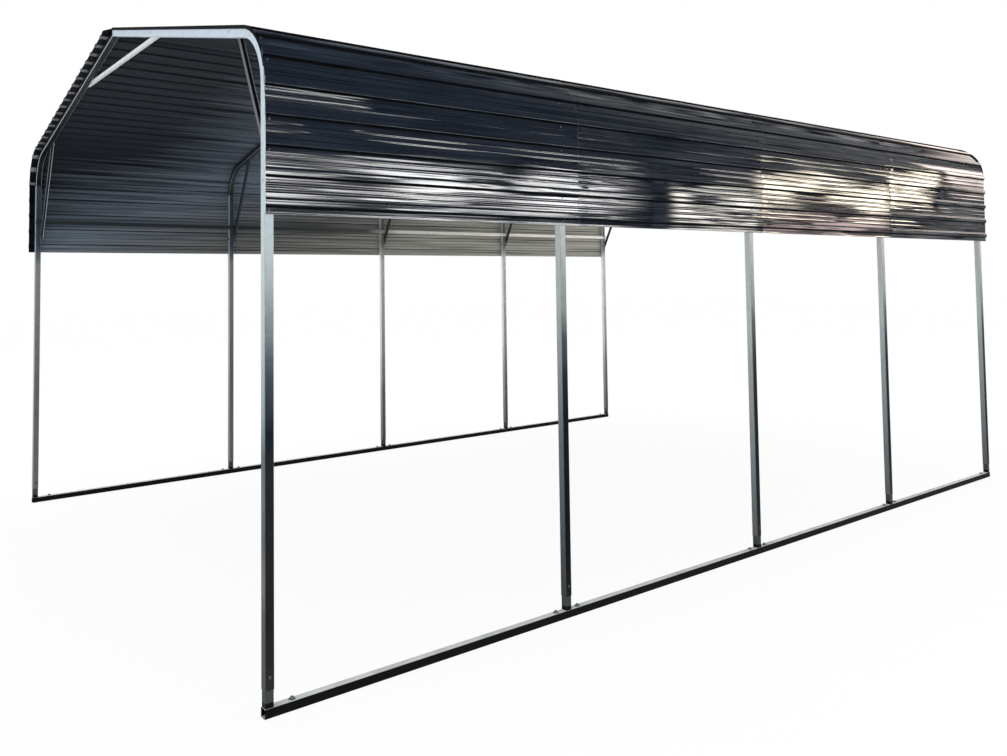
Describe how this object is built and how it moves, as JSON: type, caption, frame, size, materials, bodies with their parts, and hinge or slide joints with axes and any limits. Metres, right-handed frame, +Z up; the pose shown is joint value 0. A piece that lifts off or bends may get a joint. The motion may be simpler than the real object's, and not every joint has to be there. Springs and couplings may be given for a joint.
{
  "type": "steel carport",
  "caption": "Open carport of bent square steel tube on two ground rails, with eave and ridge braces and dark ribbed sheets over the roof, rounded eaves and upper sides.",
  "frame": {"origin": "on the ground, in the middle of the rectangle that the two ground rails enclose", "axes": "+Z up, +Y along the carport from the front frame to the back frame, +X across to the right as seen from the front"},
  "size_m": [4.37, 6.265, 3.141],
  "materials": {
    "frame_tube": "galvanised, satin with a faint spangle",
    "brace_tube": "galvanised, satin",
    "roof_sheet": "charcoal baked enamel, glossy"
  },
  "bodies": {
    "root": {"base_rail_left": "frame_tube", "base_rail_right": "frame_tube", "leg_left_1": "frame_tube", "leg_left_2": "frame_tube", "leg_left_3": "frame_tube", "leg_left_4": "frame_tube", "leg_left_5": "frame_tube", "leg_right_1": "frame_tube", "leg_right_2": "frame_tube", "leg_right_3": "frame_tube", "leg_right_4": "frame_tube", "leg_right_5": "frame_tube", "bow_left_1": "frame_tube", "bow_left_2": "frame_tube", "bow_left_3": "frame_tube", "bow_left_4": "frame_tube", "bow_left_5": "frame_tube", "bow_right_1": "frame_tube", "bow_right_2": "frame_tube", "bow_right_3": "frame_tube", "bow_right_4": "frame_tube", "bow_right_5": "frame_tube", "braces_1": "brace_tube", "braces_2": "brace_tube", "braces_3": "brace_tube", "braces_4": "brace_tube", "braces_5": "brace_tube", "girt_left": "brace_tube", "girt_right": "brace_tube", "eave_sheet_left_1": "roof_sheet", "eave_sheet_left_2": "roof_sheet", "eave_sheet_left_3": "roof_sheet", "eave_sheet_left_4": "roof_sheet", "eave_sheet_right_1": "roof_sheet", "eave_sheet_right_2": "roof_sheet", "eave_sheet_right_3": "roof_sheet", "eave_sheet_right_4": "roof_sheet", "roof_sheet_left_1": "roof_sheet", "roof_sheet_left_2": "roof_sheet", "roof_sheet_left_3": "roof_sheet", "roof_sheet_left_4": "roof_sheet", "roof_sheet_right_1": "roof_sheet", "roof_sheet_right_2": "roof_sheet", "roof_sheet_right_3": "roof_sheet", "roof_sheet_right_4": "roof_sheet"}
  },
  "joints": []
}
